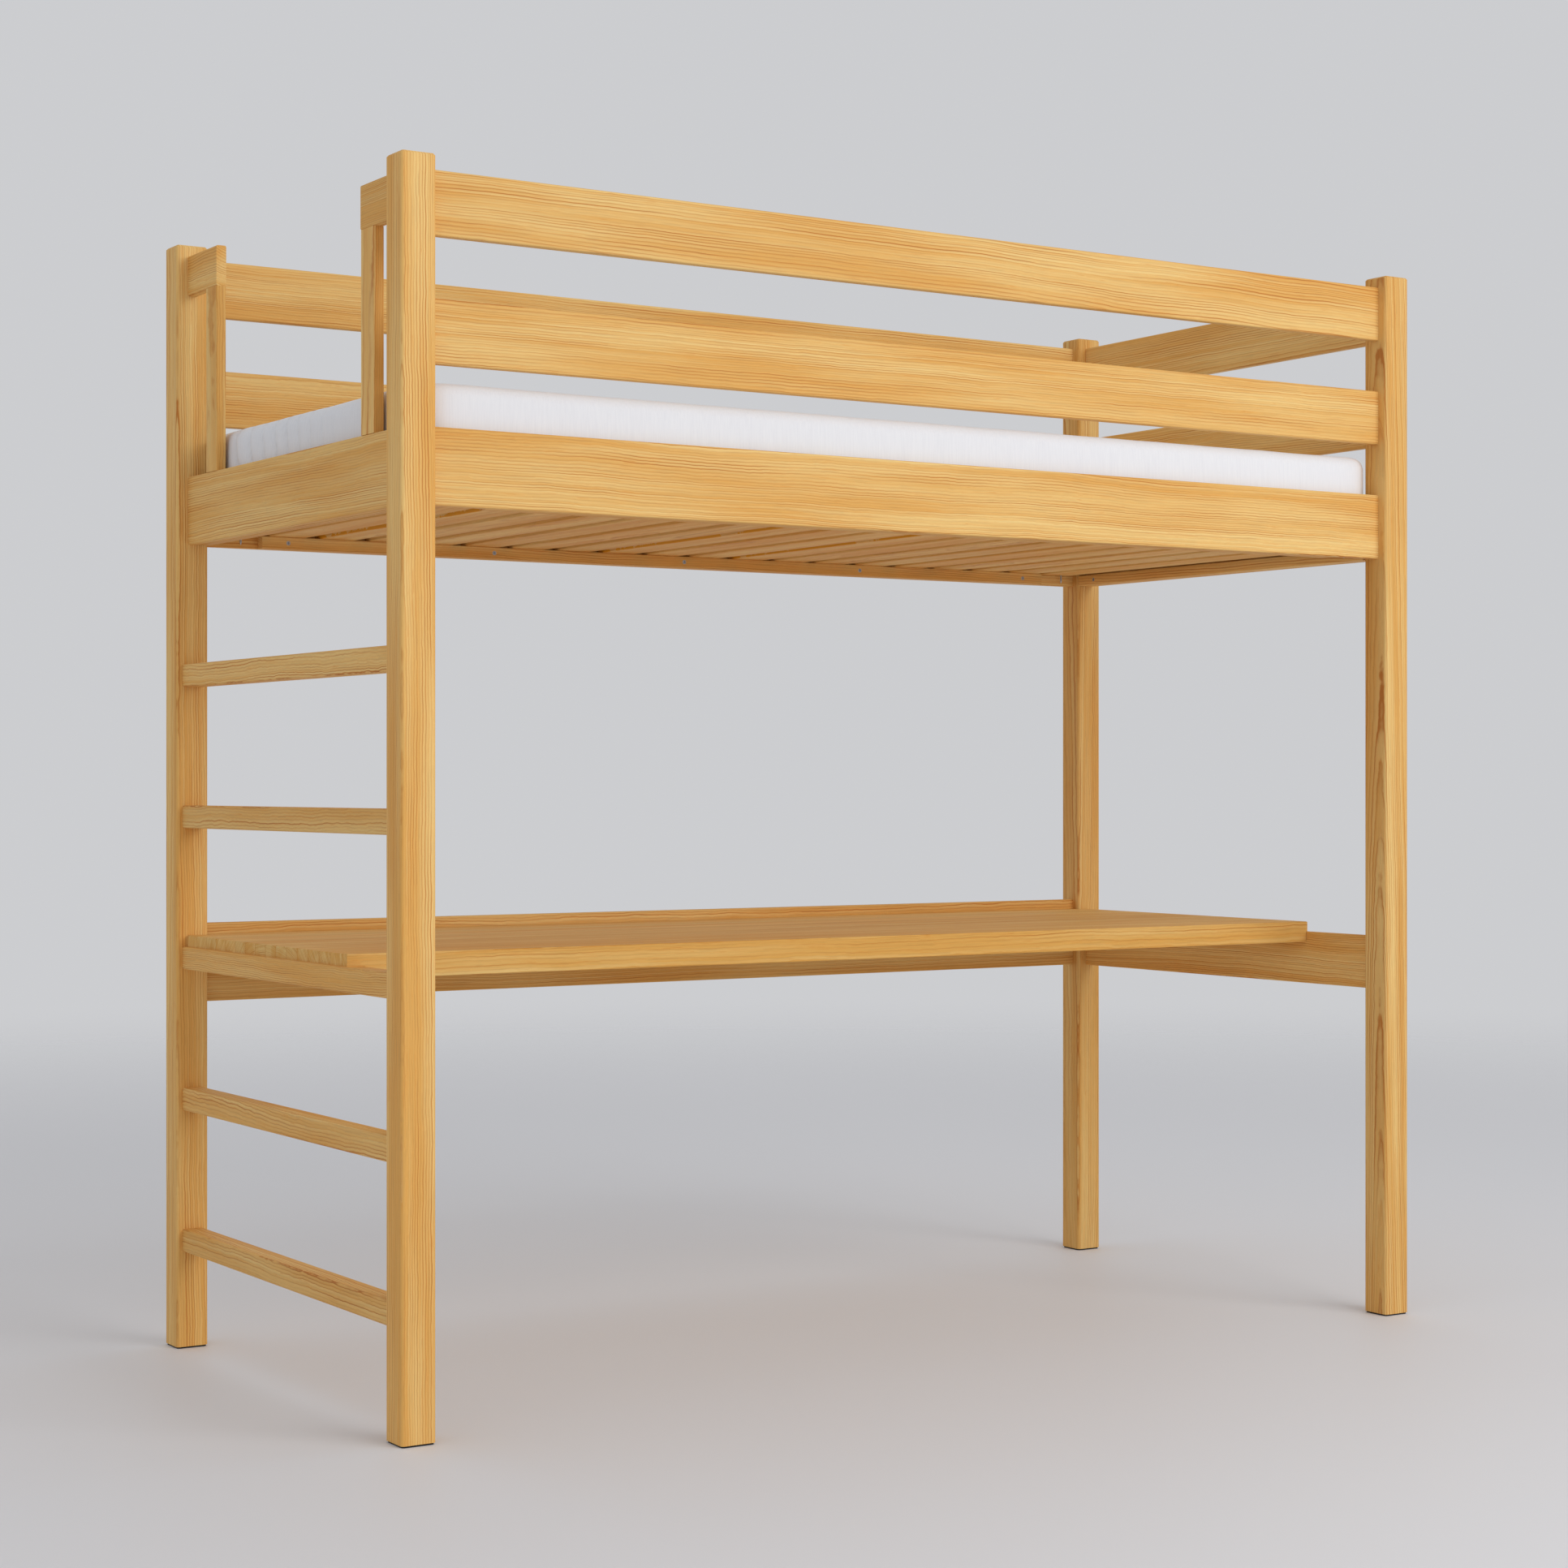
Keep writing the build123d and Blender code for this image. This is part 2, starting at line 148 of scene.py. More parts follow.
def pineMaterial(name, grain):
    material, tree = emptyMaterial(name)
    turn = Euler([math.radians(a) for a in grainTurns[grain["axis"]]]).to_matrix()
    tilt = Euler([0, *[math.radians(a) for a in grain["tilt"]]]).to_matrix()
    matrix = tilt @ turn
    offset = Vector((grain["along"], grain["pith"][0] * mm, grain["pith"][1] * mm))
    location = offset - matrix @ Vector(grain["centre"])
    coordinates = addNode(tree, "TexCoord")
    place = addNode(tree, "Mapping", {
        "vector_type": "POINT", "Location": location, "Rotation": matrix.to_euler("XYZ"),
    }, {"Vector": coordinates.outputs["Object"]})
    # glued staves, each cut from another part of the log
    if "stave" in grain:
        split = addNode(tree, "SeparateXYZ", {}, {0: place})
        share = addNode(tree, "Math", {"operation": "DIVIDE", 1: grain["stave"] * mm},
                        {0: split.outputs[1]})
        stave = addNode(tree, "Math", {"operation": "FLOOR"}, {0: share})
        draw = addNode(tree, "TexWhiteNoise", {"noise_dimensions": "1D"}, {"W": stave})
        place = addNode(tree, "VectorMath", {"operation": "MULTIPLY_ADD", 1: grain["staveShift"]},
                        {0: draw.outputs["Color"], 2: place})
        toSeam = addNode(tree, "Math", {"operation": "PINGPONG", 1: 0.5}, {0: share})
        seam = addNode(tree, "Math", {"operation": "LESS_THAN", 1: pine["seam"]}, {0: toSeam})
        low, high = pine["staveTones"]
        staveTone = addNode(tree, "MapRange", {"To Min": low, "To Max": high},
                            {"Value": draw.outputs["Value"]})
    # the trunk's long bends, then the short ripple; both stay the same over many years' rings
    bends = grainNoise(tree, place, pine["bend"], {"Detail": 2.0})
    sway = pine["bendSway"] * grain["sway"]
    bent = addNode(tree, "VectorMath", {"operation": "MULTIPLY_ADD", 1: (0, sway, sway)},
                   {0: bends.outputs["Color"], 2: place})
    ripple = grainNoise(tree, place, pine["ripple"], {"Detail": 3.0, "Roughness": 0.6})
    sway = pine["rippleSway"] * grain["ripple"]
    rippled = addNode(tree, "VectorMath", {"operation": "MULTIPLY_ADD", 1: (0, sway, sway)},
                      {0: ripple.outputs["Color"], 2: bent})
    # rings round the pith, some years wide and some narrow
    across = addNode(tree, "VectorMath", {"operation": "MULTIPLY", 1: (0, 1, 1)}, {0: rippled})
    radius = addNode(tree, "VectorMath", {"operation": "LENGTH"}, {0: across})
    years = addNode(tree, "Math", {"operation": "DIVIDE", 1: grain["ring"] * mm}, {0: radius})
    seasons = addNode(tree, "TexNoise", {
        "noise_dimensions": "1D", "Scale": 1 / pine["unevenYears"], "Detail": 1.0,
    }, {"W": radius})
    uneven = addNode(tree, "Math", {"operation": "MULTIPLY_ADD", 1: pine["yearShift"]},
                     {0: seasons, 2: years})
    phase = addNode(tree, "Math", {"operation": "FRACT"}, {0: uneven})
    year = addNode(tree, "Math", {"operation": "FLOOR"}, {0: uneven})
    stops = [(passed, grey(dark)) for passed, dark in pine["year"]]
    line = addNode(tree, "ValToRGB", {"stops": stops}, {0: phase})
    # each year's line has its own strength, and fades in and out along the board
    luck = addNode(tree, "TexWhiteNoise", {"noise_dimensions": "1D"}, {"W": year})
    low, high = pine["yearStrength"]
    strength = addNode(tree, "MapRange", {"To Min": low, "To Max": high},
                       {"Value": luck.outputs["Value"]})
    fading = grainNoise(tree, bent, pine["fade"], {"Detail": 2.0})
    low, high = pine["fadeStrength"]
    fade = addNode(tree, "MapRange", {
        "From Min": pine["fadeNoise"][0], "From Max": pine["fadeNoise"][1],
        "To Min": low * grain["figure"], "To Max": high * grain["figure"],
    }, {"Value": fading})
    lines = addNode(tree, "Math", {"operation": "MULTIPLY"}, {0: line, 1: strength})
    lines = addNode(tree, "Math", {"operation": "MULTIPLY", "use_clamp": True},
                    {0: lines, 1: fade})
    # fibre streaks and warmer patches
    fibre = grainNoise(tree, rippled, pine["fibre"], {"Detail": 2.0, "Roughness": 0.6})
    dashes = addNode(tree, "MapRange", {
        "From Min": pine["dashNoise"][0], "From Max": pine["dashNoise"][1],
        "To Max": pine["dashStrength"],
    }, {"Value": fibre})
    streaks = addNode(tree, "Math", {"operation": "MAXIMUM"}, {0: lines, 1: dashes})
    patches = grainNoise(tree, bent, pine["patch"], {"Detail": 2.0})
    patch = addNode(tree, "MapRange", {
        "From Min": pine["patchNoise"][0], "From Max": pine["patchNoise"][1],
        "To Max": pine["patchWarmth"],
    }, {"Value": patches})
    split = addNode(tree, "SeparateXYZ", {}, {0: luck.outputs["Color"]})
    warmth = addNode(tree, "Math", {
        "operation": "MULTIPLY_ADD", "use_clamp": True, 1: pine["yearWarmth"],
    }, {0: split.outputs[1], 2: patch})
    tone = addNode(tree, "Mix", {
        "data_type": "RGBA",
        6: linearColour(pine["earlywood"]), 7: linearColour(pine["warmEarlywood"]),
    }, {0: warmth})
    wood = addNode(tree, "Mix", {"data_type": "RGBA", 7: linearColour(pine["latewood"])},
                   {0: streaks, 6: tone})
    # fibre streaks lighten and darken the wood, scaled by the piece's tone; where a piece's tone
    # is lowered, that is painted shade
    low, high = pine["shade"]
    shade = addNode(tree, "MapRange", {
        "From Min": noiseSpan[0], "From Max": noiseSpan[1],
        "To Min": low * grain["tone"], "To Max": high * grain["tone"],
    }, {"Value": fibre})
    wood = addNode(tree, "Mix", {"data_type": "RGBA", "blend_type": "MULTIPLY", 0: 1.0},
                   {6: wood, 7: shade})
    if "stave" in grain:
        wood = addNode(tree, "Mix", {"data_type": "RGBA", "blend_type": "MULTIPLY", 0: 1.0},
                       {6: wood, 7: staveTone})
        wood = addNode(tree, "Mix", {"data_type": "RGBA", 7: linearColour(pine["latewood"])},
                       {0: seam, 6: wood})
    if "wane" in grain:
        wood = addWane(tree, coordinates, wood, grain["wane"])
    relief = addNode(tree, "Math", {"operation": "ADD"}, {0: fibre, 1: lines})
    bump = addNode(tree, "Bump", {"Strength": pine["bumpStrength"], "Distance": pine["bump"]},
                   {"Height": relief})
    low, high = pine["roughness"]
    rough = addNode(tree, "MapRange", {
        "From Min": noiseSpan[0], "From Max": noiseSpan[1], "To Min": low, "To Max": high,
    }, {"Value": fibre})
    shader = addNode(tree, "BsdfPrincipled", {
        "IOR": pine["ior"], "Specular IOR Level": grain["gloss"],
    }, {"Base Color": wood, "Roughness": rough, "Normal": bump})
    addNode(tree, "OutputMaterial", {}, {"Surface": shader})
    return material


# The ragged rim of inner bark left along one side of a slat sawn at the log's edge
wane = {
    "colour": "#DF9A20",
    "length": 110 * mm,
    "height": 17 * mm,
    "width": 5 * mm,
    "noise": (0.38, 0.7),  # no bark below the first, its full height and width from the second
}


def addWane(tree, coordinates, wood, corner):
    # corner: the x and z of the slat's lower edge that the bark runs along
    split = addNode(tree, "SeparateXYZ", {}, {0: coordinates.outputs["Object"]})
    ragged = addNode(tree, "TexNoise", {
        "noise_dimensions": "1D", "Scale": 1 / wane["length"], "Detail": 6.0, "Roughness": 0.65,
    }, {"W": split.outputs[1]})
    inward = addNode(tree, "Math", {"operation": "SUBTRACT", 1: corner[0]},
                     {0: split.outputs[0]})
    upward = addNode(tree, "Math", {"operation": "SUBTRACT", 1: corner[1]},
                     {0: split.outputs[2]})
    inShare = addNode(tree, "Math", {"operation": "DIVIDE", 1: wane["width"]}, {0: inward})
    upShare = addNode(tree, "Math", {"operation": "DIVIDE", 1: wane["height"]}, {0: upward})
    share = addNode(tree, "Math", {"operation": "ADD"}, {0: inShare, 1: upShare})
    low, high = wane["noise"]
    limit = addNode(tree, "MapRange", {"From Min": low, "From Max": high}, {"Value": ragged})
    bark = addNode(tree, "Math", {"operation": "LESS_THAN"}, {0: share, 1: limit})
    return addNode(tree, "Mix", {"data_type": "RGBA", 7: linearColour(wane["colour"])},
                   {0: bark, 6: wood})


def finish(node, material):
    data = nodes[node].data
    if not data.materials:
        data.materials.append(material)
    for index in range(len(data.materials)):
        data.materials[index] = material


# Which way each piece's grain runs
grainAlong = {
    "X": [
        "side_rail_front", "side_rail_back", "ledger_front", "ledger_back", "desk_rail_back",
        "desk_cleat_back", "desktop",
        *[f"guard_{side}_{level}" for side in ("front", "back") for level in ("lower", "upper")],
    ],
    "Y": [
        "end_rail_left", "end_rail_right", "ledger_left", "ledger_right", "desk_rail_right",
        "desk_cleat_right", "guard_right_lower", "guard_right_upper",
        "handle_block_front", "handle_block_back",
        *[f"rung_{step}" for step in range(1, 6)],
        *[f"slat_{step:02d}" for step in range(1, 21)],
    ],
    "Z": [
        "post_front_left", "post_front_right", "post_back_left", "post_back_right",
        "handle_stile_front", "handle_stile_back",
    ],
}

# The limits of what chance decides. The log's pith lies outside each piece, this many mm from
# its middle in the two directions across the grain: straight lines show on a face that the pith
# is aside of, and arches on one that it lies square below.
grainRanges = {
    "along": (0, 50),  # metres along the log
    "aside": (-35, 35),
    "below": (75, 150),
    "tilt": (-0.5, 0.5),  # degrees
    "ring": (4.0, 5.6),  # mm from year to year
    "sway": (0.7, 1.2),
    "ripple": (0.6, 1.3),
    "tone": (0.96, 1.03),
    "postAside": (60, 90),
    "postBelow": (90, 120),
    "postRing": (3.6, 4.4),
    "boardAside": (45, 80),
    "boardRing": (3.3, 4.4),
    "boardRipple": (0.5, 1.0),
    "crossRing": (3.2, 4.4),
}

# What sets families and single pieces apart. The desktop's staves are in mm, their shift in
# metres; the front right post lies a little askew in its log, which gives it tall arches.
# A tone below 1 on the back right post, the back desk rail and the desktop is painted shade:
# those pieces are made darker for the shade they stand in under the bed and by the wall.
boardFamilies = ("end_rail", "guard", "side_rail", "rung", "ledger", "desk_rail")
familyLooks = {
    "post": {"sway": 0.6, "ripple": 0.9, "figure": 1.15},
    "rung": {"ripple": 1.3},
    "slat": {"figure": 0.6},
}
pieceLooks = {
    "post_front_left": {"tone": 1.06},
    "post_front_right": {"pith": (4, -74), "tilt": (1.5, 0.1), "ring": 4.4},
    # painted shade: the back right post and the back desk rail are darkened for the shade they
    # stand in
    "post_back_right": {"tone": 0.92},
    "desk_rail_back": {"tone": 0.92},
    # painted shade: the desktop's tone darkens it for the shade of the bed above it
    "desktop": {
        "pith": (-20, 95), "stave": 44, "staveShift": (3, 0.12, 0.08), "ring": 3.2,
        "sway": 0.5, "ripple": 0.7, "figure": 0.8, "tone": 0.94, "gloss": 0.1,
    },
}
barkedSlats = ("slat_03", "slat_09", "slat_12")

chance = random.Random(41)


def drawn(key):
    return chance.uniform(*grainRanges[key])


def eitherSide():
    return chance.choice((-1, 1))


for axis, names in grainAlong.items():
    for name in names:
        low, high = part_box(name)
        grain = {
            "axis": axis,
            "centre": (low + high) / 2,
            "along": drawn("along"),
            "pith": (drawn("aside"), eitherSide() * drawn("below")),
            "tilt": (drawn("tilt"), drawn("tilt")),
            "ring": drawn("ring"),
            "sway": drawn("sway"),
            "ripple": drawn("ripple"),
            "tone": drawn("tone"),
            "figure": 1.0,
            "gloss": 0.3,
        }
        if name.startswith("post"):
            sides = eitherSide(), eitherSide()
            grain["pith"] = (sides[0] * drawn("postAside"), sides[1] * drawn("postBelow"))
            grain["ring"] = drawn("postRing")
        if name.startswith(boardFamilies):
            offSide = eitherSide() * drawn("boardAside")
            grain.update(pith=(offSide, grain["pith"][1]), figure=1.15,
                         ring=drawn("boardRing"), ripple=drawn("boardRipple"))
        if axis == "Y":
            grain["ring"] = drawn("crossRing")
        if name in barkedSlats:
            grain["wane"] = (low.x, low.z)
        grain.update(familyLooks.get(name.split("_")[0], {}))
        grain.update(pieceLooks.get(name, {}))
        finish(name, pineMaterial("varnishedPine." + name, grain))
print("pine laid on", sum(len(names) for names in grainAlong.values()), "pieces")

# Zinc-plated steel, drawn wire and pressed plate: cool grey, faintly cloudy, finely scratched.
zinc = {
    "bright": "#C9CDD2", "dull": "#9AA0A8", "cloud": 2 * mm, "scratch": 0.3 * mm,
    "roughness": (0.28, 0.5), "bump": 0.05 * mm, "bumpStrength": 0.2,
}
steelPieces = (
    "batten_screws", "slat_screws", "plate_screws", "rail_hook_plates", "post_slot_plates",
)

material, tree = emptyMaterial("zincPlatedSteel")
coordinates = addNode(tree, "TexCoord")
clouds = addNode(tree, "TexNoise", {"Scale": 1 / zinc["cloud"], "Detail": 3.0},
                 {"Vector": coordinates.outputs["Object"]})
scratches = addNode(tree, "TexNoise", {"Scale": 1 / zinc["scratch"], "Detail": 1.0},
                    {"Vector": coordinates.outputs["Object"]})
colour = addNode(tree, "Mix", {
    "data_type": "RGBA", 6: linearColour(zinc["bright"]), 7: linearColour(zinc["dull"]),
}, {0: clouds})
low, high = zinc["roughness"]
rough = addNode(tree, "MapRange", {
    "From Min": noiseSpan[0], "From Max": noiseSpan[1], "To Min": low, "To Max": high,
}, {"Value": scratches})
bump = addNode(tree, "Bump", {"Strength": zinc["bumpStrength"], "Distance": zinc["bump"]},
               {"Height": scratches})
shader = addNode(tree, "BsdfPrincipled", {"Metallic": 1.0},
                 {"Base Color": colour, "Roughness": rough, "Normal": bump})
addNode(tree, "OutputMaterial", {}, {"Surface": shader})
for name in steelPieces:
    finish(name, material)

# Steamed beech, turned and unfinished: pinkish tan with short dark flecks.
beech = {
    "pale": "#D9B48C", "fleck": "#9C6B43", "fleckSize": 1.2 * mm, "fleckNoise": (0.55, 0.7),
    "roughness": 0.7, "bump": 0.1 * mm, "bumpStrength": 0.3,
}

material, tree = emptyMaterial("steamedBeech")
coordinates = addNode(tree, "TexCoord")
flecks = addNode(tree, "TexNoise", {"Scale": 1 / beech["fleckSize"], "Detail": 3.0},
                 {"Vector": coordinates.outputs["Object"]})
low, high = beech["fleckNoise"]
amount = addNode(tree, "MapRange", {"From Min": low, "From Max": high}, {"Value": flecks})
colour = addNode(tree, "Mix", {
    "data_type": "RGBA", 6: linearColour(beech["pale"]), 7: linearColour(beech["fleck"]),
}, {0: amount})
bump = addNode(tree, "Bump", {"Strength": beech["bumpStrength"], "Distance": beech["bump"]},
               {"Height": flecks})
shader = addNode(tree, "BsdfPrincipled", {"Roughness": beech["roughness"]},
                 {"Base Color": colour, "Normal": bump})
addNode(tree, "OutputMaterial", {}, {"Surface": shader})
finish("dowels", material)

# Pressed wool felt, nearly black: matt, with a short tangled nap that greys it at the edges.
felt = {
    "dark": "#141416", "light": "#2B2B2F", "nap": 0.8 * mm, "roughness": 0.95, "sheen": 0.3,
    "specular": 0.2, "bump": 0.3 * mm, "bumpStrength": 0.6,
}

material, tree = emptyMaterial("pressedFelt")
coordinates = addNode(tree, "TexCoord")
nap = addNode(tree, "TexNoise", {"Scale": 1 / felt["nap"], "Detail": 4.0, "Roughness": 0.7},
              {"Vector": coordinates.outputs["Object"]})
colour = addNode(tree, "Mix", {
    "data_type": "RGBA", 6: linearColour(felt["dark"]), 7: linearColour(felt["light"]),
}, {0: nap})
bump = addNode(tree, "Bump", {"Strength": felt["bumpStrength"], "Distance": felt["bump"]},
               {"Height": nap})
shader = addNode(tree, "BsdfPrincipled", {
    "Roughness": felt["roughness"], "Sheen Weight": felt["sheen"],
    "Specular IOR Level": felt["specular"],
}, {"Base Color": colour, "Normal": bump})
addNode(tree, "OutputMaterial", {}, {"Surface": shader})
finish("foot_pads", material)
print("steel, beech and felt laid")

# A foam block in a sewn cover: crowned on top, flat below, its corners full and its sides drawn
# in a little between them, with slack folds in the cover at the ladder end.
mattress = {
    "spacing": (14 * mm, 6 * mm, 10 * mm),  # of the points of its mesh
    "cornerRadius": 60 * mm,
    "topRadius": 22 * mm,
    "bottomRadius": 9 * mm,
    "loft": 5 * mm,  # how far the middle of the top rises
    "crown": 2 * mm,  # how much less the top's edges rise
    "waist": 3.5 * mm,
    "waistAtMidHeight": 0.35,  # as a share of the waist at the seams
    "foldDepth": 16 * mm,
    "foldSpacing": 52 * mm,
    "foldReach": 170 * mm,
    "foldSlant": 0.25,
    "foldDrift": 0.7,  # as a share of their spacing
    "foldAtFront": 0.15,  # as a share of the depth at the back
    "dimple": 1.6 * mm,
    # how often each unevenness changes, in waves per metre
    "driftWaves": (3, 9),
    "depthWaves": (7, 4),
    "dimpleWaves": 9,
}

low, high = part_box("mattress")
centre = (low + high) / 2
half = (high - low) / 2


def smooth(value):
    value = min(max(value, 0.0), 1.0)
    return value * value * (3 - 2 * value)


def plumpPoint(point):
    # from the square block to the rounded, crowned one
    corner = mattress["cornerRadius"]
    x, y, z = point
    coreX = half.x - corner
    coreY = half.y - corner
    pastX = max(abs(x) - coreX, 0.0)
    pastY = max(abs(y) - coreY, 0.0)
    if pastX and pastY:
        scale = max(pastX, pastY) / math.hypot(pastX, pastY)
        x = math.copysign(coreX + pastX * scale, x)
        y = math.copysign(coreY + pastY * scale, y)
        pastX *= scale
        pastY *= scale
    if pastX or pastY:
        outward = Vector((math.copysign(pastX, x), math.copysign(pastY, y), 0)).normalized()
        inset = corner - math.hypot(pastX, pastY)
    else:
        inset = min(half.x - abs(x), half.y - abs(y))
        nearEnd = half.x - abs(x) < half.y - abs(y)
        outward = Vector((math.copysign(nearEnd, x), math.copysign(not nearEnd, y), 0))
    radius = mattress["topRadius"] if z > 0 else mattress["bottomRadius"]
    pastOut = radius - inset
    pastUp = abs(z) - (half.z - radius)
    place = Vector((x, y, z))
    if pastOut > 0 and pastUp > 0:
        scale = max(pastOut, pastUp) / math.hypot(pastOut, pastUp)
        place -= outward * pastOut * (1 - scale)
        place.z = math.copysign(half.z - radius + pastUp * scale, z)
        inset += pastOut * (1 - scale)
    # sides drawn in between the corners, most in the middle of the top and bottom seams
    if inset < 2 * corner:
        onSide = abs(outward.y) > 0.7
        middle = (1 - (x / half.x) ** 4) if onSide else (1 - (y / half.y) ** 4)
        fadeIn = 1 - smooth(inset / (2 * corner))
        least = mattress["waistAtMidHeight"]
        toSeam = least + (1 - least) * (z / half.z) ** 2
        place -= outward * mattress["waist"] * middle * fadeIn * toSeam
    # crown
    if z > 0:
        rise = (1 - (x / half.x) ** 6) * (1 - (y / half.y) ** 4)
        place.z += (mattress["loft"] - mattress["crown"] * (1 - rise)) * (z / half.z)
    return place


def coverFolds(place, facing):
    # slack upright folds on the ladder end, fading towards the front, and shallow dimples
    fromEnd = place.x + half.x
    atFront = mattress["foldAtFront"]
    fade = 1 - smooth(fromEnd / mattress["foldReach"])
    fade *= atFront + (1 - atFront) * smooth(0.5 + place.y / (0.9 * half.y))
    alongY, alongZ = mattress["driftWaves"]
    drift = noise.noise(Vector((place.y * alongY, place.z * alongZ, 0.3)))
    turns = (place.y - mattress["foldSlant"] * place.z) / mattress["foldSpacing"]
    turns += mattress["foldDrift"] * drift
    crease = (1 - abs(math.sin(math.pi * turns))) ** 2
    alongY, alongZ = mattress["depthWaves"]
    depth = 0.5 + 0.5 * noise.noise(Vector((place.y * alongY, place.z * alongZ, 5.0)))
    onEnd = smooth(-1.6 * facing.x - 0.4)  # 0 on the top and sides, 1 on the end
    fold = mattress["foldDepth"] * fade * depth * crease * onEnd
    soft = noise.fractal(place * mattress["dimpleWaves"] + Vector((7, 3, 1)), 1.0, 2.0, 2)
    return fold + mattress["dimple"] * (0.5 + 0.5 * soft)


mesh = bpy.data.meshes.new("mattress_cover")
shell = bmesh.new()
counts = [round(2 * size / step) for size, step in zip(half, mattress["spacing"])]
corners = {}


def shellVertex(key):
    if key not in corners:
        shares = [2 * step / count - 1 for step, count in zip(key, counts)]
        place = Vector([size * share for size, share in zip(half, shares)])
        corners[key] = shell.verts.new(plumpPoint(place))
    return corners[key]


def shellSide(fixed, level, flip):
    first, second = [axis for axis in range(3) if axis != fixed]
    for u in range(counts[first]):
        for v in range(counts[second]):
            loop = []
            for du, dv in ((0, 0), (1, 0), (1, 1), (0, 1)):
                key = [0, 0, 0]
                key[fixed] = level
                key[first] = u + du
                key[second] = v + dv
                loop.append(shellVertex(tuple(key)))
            shell.faces.new(loop[::-1] if flip else loop)


for fixed in range(3):
    shellSide(fixed, 0, fixed != 1)
    shellSide(fixed, counts[fixed], fixed == 1)
shell.normal_update()
moves = [(vertex, vertex.normal * coverFolds(vertex.co, vertex.normal)) for vertex in shell.verts]
for vertex, move in moves:
    if vertex.co.z > -half.z + mattress["bottomRadius"]:
        vertex.co -= move
    vertex.co += centre
for face in shell.faces:
    face.smooth = True
shell.to_mesh(mesh)
shell.free()
mattressPiece = bpy.data.objects.new("mattress_cover", mesh)
bpy.context.scene.collection.objects.link(mattressPiece)
print("mattress:", len(mesh.vertices), "points")

# Bleached cotton ticking: matt white, faint upright threads on the sides, a soft nap.
ticking = {
    "white": "#EAEBEE", "shadow": "#E4E5E9",
    "thread": 3 * mm,  # real threads are ten times finer, and wouldn't show
    "threadRelief": 0.3,
    "slub": (2.4 * mm, 45 * mm),  # width and height of the thick places in the thread
    "slubNoise": (0.35, 0.75),
    "roughness": 0.92, "sheen": 0.25, "sheenRoughness": 0.5, "specular": 0.2,
    "bump": 0.25 * mm, "bumpStrength": 0.12,
}
widestWave = math.pi / 10  # metres from band to band in a wave texture of scale 1

material, tree = emptyMaterial("cottonTicking")
coordinates = addNode(tree, "TexCoord")
slubWidth, slubHeight = ticking["slub"]
spread = addNode(tree, "VectorMath", {
    "operation": "DIVIDE", 1: (slubWidth, slubWidth, slubHeight),
}, {0: coordinates.outputs["Object"]})
slubs = addNode(tree, "TexNoise", {"Scale": 1.0, "Detail": 3.0, "Roughness": 0.6},
                {"Vector": spread})
threads = addNode(tree, "TexWave", {
    "Scale": widestWave / ticking["thread"], "Distortion": 1.5, "Detail": 1.0,
}, {"Vector": coordinates.outputs["Object"]})
low, high = ticking["slubNoise"]
amount = addNode(tree, "MapRange", {"From Min": low, "From Max": high}, {"Value": slubs})
colour = addNode(tree, "Mix", {
    "data_type": "RGBA", 6: linearColour(ticking["white"]), 7: linearColour(ticking["shadow"]),
}, {0: amount})
relief = addNode(tree, "Math", {"operation": "MULTIPLY_ADD", 1: ticking["threadRelief"]},
                 {0: threads.outputs[1], 2: slubs})
bump = addNode(tree, "Bump", {"Strength": ticking["bumpStrength"], "Distance": ticking["bump"]},
               {"Height": relief})
shader = addNode(tree, "BsdfPrincipled", {
    "Roughness": ticking["roughness"], "Sheen Weight": ticking["sheen"],
    "Sheen Roughness": ticking["sheenRoughness"], "Specular IOR Level": ticking["specular"],
}, {"Base Color": colour, "Normal": bump})
addNode(tree, "OutputMaterial", {}, {"Surface": shader})
mesh.materials.append(material)
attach(mattressPiece, "mattress")
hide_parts("mattress")

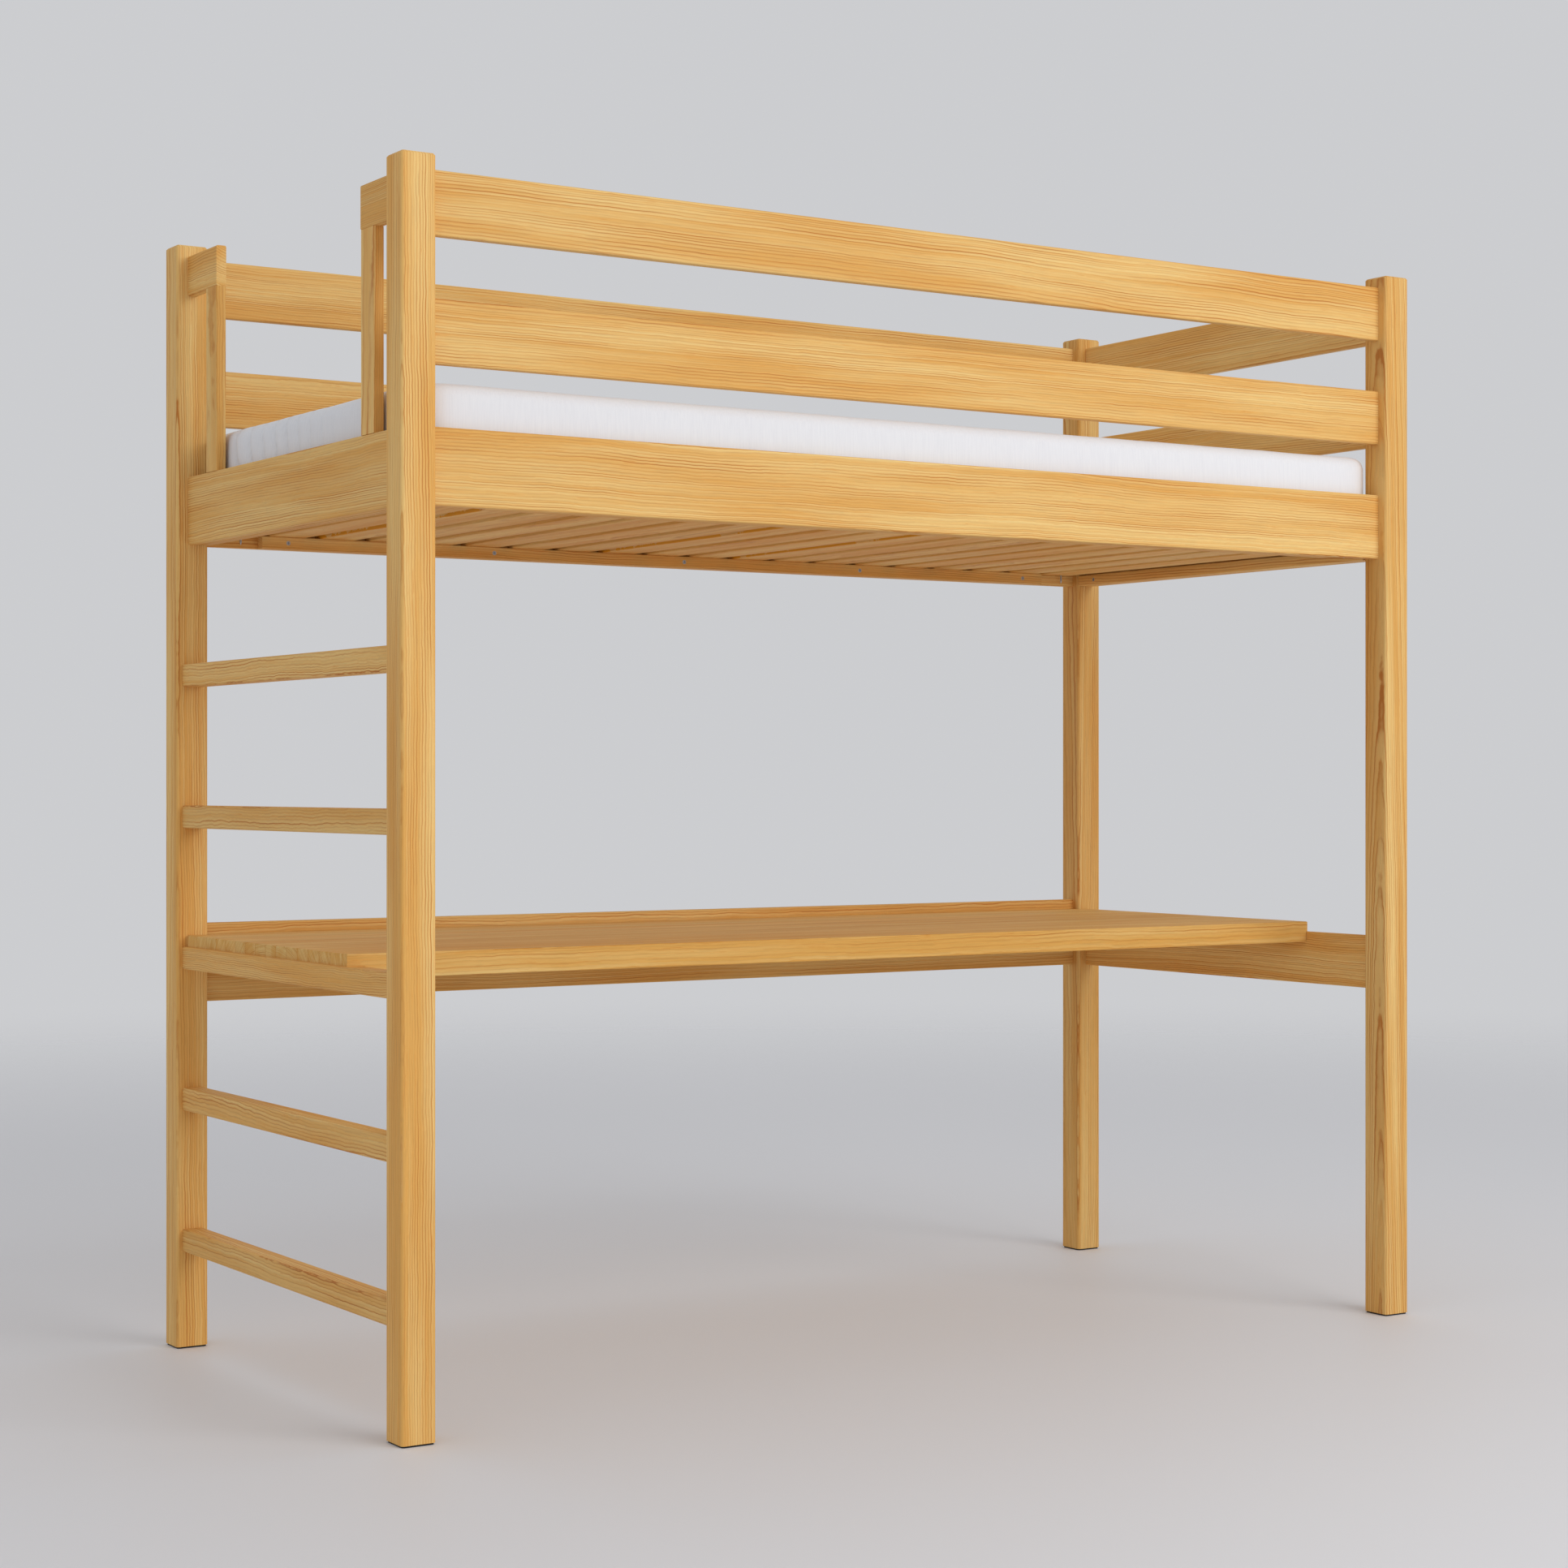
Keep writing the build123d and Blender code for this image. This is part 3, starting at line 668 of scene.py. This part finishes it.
# A pale painted floor that fades into the sky, which lights all round, and one broad soft light.
studio = {
    "floor": "#E2E2E4", "floorRoughness": 0.6, "floorRadius": 9.0, "floorSegments": 96,
    "fadeFrom": 3.2, "fadeTo": 8.5,
    "sky": "#E4E5E8", "skyStrength": 0.78,
    "keyPower": 156, "keySize": (4.5, 3.0), "keyPlace": (1.6, -5.6, 3.4), "keyAim": (0, 0, 0.9),
}

floorMesh = bpy.data.meshes.new("floor")
disc = bmesh.new()
bmesh.ops.create_circle(disc, cap_ends=True, radius=studio["floorRadius"],
                        segments=studio["floorSegments"])
disc.to_mesh(floorMesh)
disc.free()
floor = bpy.data.objects.new("floor", floorMesh)
bpy.context.scene.collection.objects.link(floor)
material, tree = emptyMaterial("paintedFloor")
coordinates = addNode(tree, "TexCoord")
distance = addNode(tree, "VectorMath", {"operation": "LENGTH"}, {0: coordinates.outputs["Object"]})
clear = addNode(tree, "MapRange", {
    "interpolation_type": "SMOOTHSTEP",
    "From Min": studio["fadeFrom"], "From Max": studio["fadeTo"],
}, {"Value": distance})
paint = addNode(tree, "BsdfPrincipled", {
    "Base Color": linearColour(studio["floor"]), "Roughness": studio["floorRoughness"],
})
through = addNode(tree, "BsdfTransparent")
blend = addNode(tree, "MixShader", {}, {0: clear, 1: paint, 2: through})
addNode(tree, "OutputMaterial", {}, {"Surface": blend})
floorMesh.materials.append(material)

world = bpy.data.worlds.new("studio")
world.use_nodes = True
world.node_tree.nodes.clear()
sky = addNode(world.node_tree, "Background", {
    "Color": linearColour(studio["sky"]), "Strength": studio["skyStrength"],
})
addNode(world.node_tree, "OutputWorld", {}, {"Surface": sky})
bpy.context.scene.world = world
bpy.context.scene.view_settings.view_transform = "Standard"  # keeps the pine's warm colour

lightData = bpy.data.lights.new("key", "AREA")
lightData.shape = "RECTANGLE"
lightData.size, lightData.size_y = studio["keySize"]
lightData.energy = studio["keyPower"]
light = bpy.data.objects.new("key", lightData)
light.location = studio["keyPlace"]
aim = Vector(studio["keyAim"]) - light.location
light.rotation_euler = aim.to_track_quat("-Z", "Y").to_euler()
bpy.context.scene.collection.objects.link(light)
print("studio set")

bpy.context.view_layer.update()
